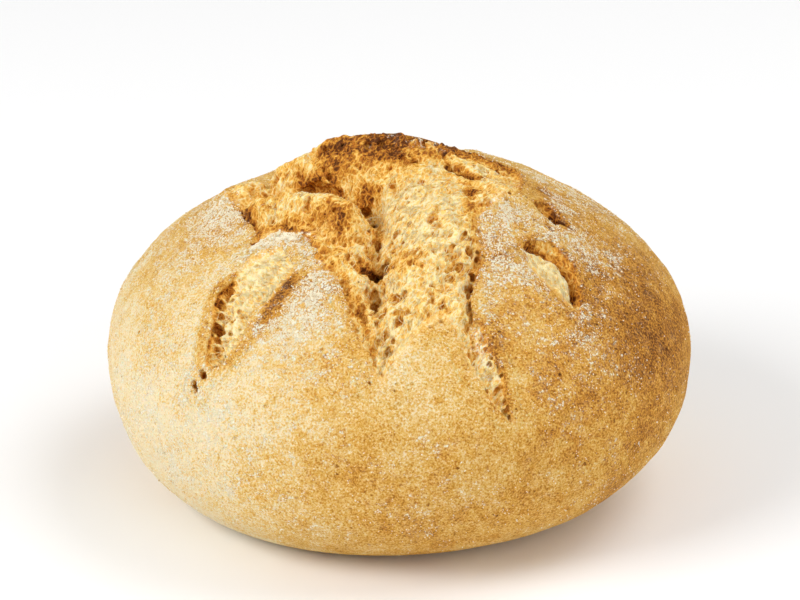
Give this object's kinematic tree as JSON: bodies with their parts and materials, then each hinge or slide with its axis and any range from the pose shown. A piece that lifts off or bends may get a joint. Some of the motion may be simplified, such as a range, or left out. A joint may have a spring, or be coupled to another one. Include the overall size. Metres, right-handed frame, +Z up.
{
  "type": "bread roll",
  "caption": "Round crusty bread roll with a domed, floured crust burst open across its top, and a flat base to rest on.",
  "frame": {"origin": "centre of the roll's outline, on the surface that it rests on", "axes": "+Z up; +X to the right across the roll's widest side, with the long tear and its V facing -Y"},
  "size_m": [0.1006, 0.0964, 0.0615],
  "materials": {
    "crust": "matte golden baked crust dusted with white flour, with pale porous crumb in its tears"
  },
  "bodies": {
    "root": {"bread_roll": "crust"}
  },
  "joints": []
}
